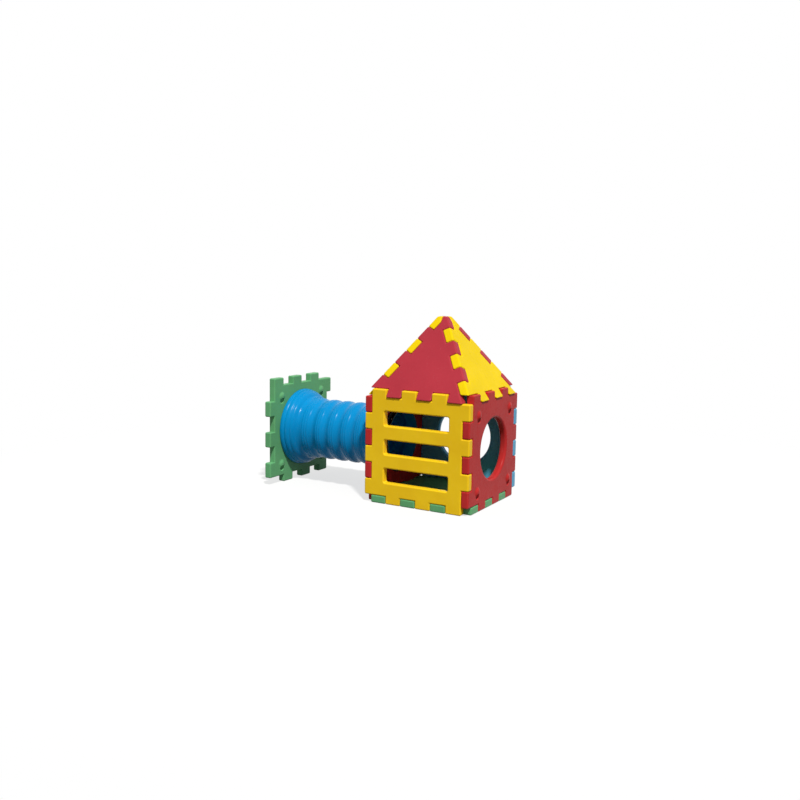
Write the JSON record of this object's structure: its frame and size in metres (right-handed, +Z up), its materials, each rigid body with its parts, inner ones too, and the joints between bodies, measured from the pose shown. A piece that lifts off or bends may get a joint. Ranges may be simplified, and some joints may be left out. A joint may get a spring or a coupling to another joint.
{
  "type": "panel play house with crawl tunnel",
  "caption": "Square play house of interlocking tabbed plastic panels with a pyramid roof, window slots, portholes and a ribbed crawl tunnel ending in a free-standing panel.",
  "frame": {"origin": "centre of the floor panel's underside, on the ground, midway between the four walls", "axes": "+X towards the right-hand porthole wall, away from the tunnel; -Y towards the slotted front; +Z up"},
  "size_m": [1.936, 0.9253, 1.4569],
  "materials": {
    "panel_yellow": "satin moulded polyethylene, warm yellow",
    "panel_red": "satin moulded polyethylene, brick red",
    "panel_green": "satin moulded polyethylene, mid green",
    "panel_light_blue": "satin moulded polyethylene, light blue",
    "roof_red": "satin moulded polyethylene, cherry red",
    "roof_yellow": "satin moulded polyethylene, bright yellow",
    "tunnel_blue": "glossy blow-moulded polyethylene, sky blue",
    "collar_black": "matte black plastic",
    "screw_steel": "zinc plated steel"
  },
  "bodies": {
    "root": {"floor_panel": "panel_green", "front_panel": "panel_yellow", "right_panel": "panel_red", "back_panel": "panel_light_blue", "left_panel": "panel_red", "end_panel": "panel_green", "roof_front": "roof_red", "roof_right": "roof_yellow", "roof_back": "roof_red", "roof_left": "roof_yellow", "crawl_tunnel": "tunnel_blue", "house_collar": "collar_black", "end_collar": "collar_black", "house_collar_screw_1": "screw_steel", "house_collar_screw_2": "screw_steel", "house_collar_screw_3": "screw_steel", "house_collar_screw_4": "screw_steel", "end_collar_screw_1": "screw_steel", "end_collar_screw_2": "screw_steel", "end_collar_screw_3": "screw_steel", "end_collar_screw_4": "screw_steel"}
  },
  "joints": []
}
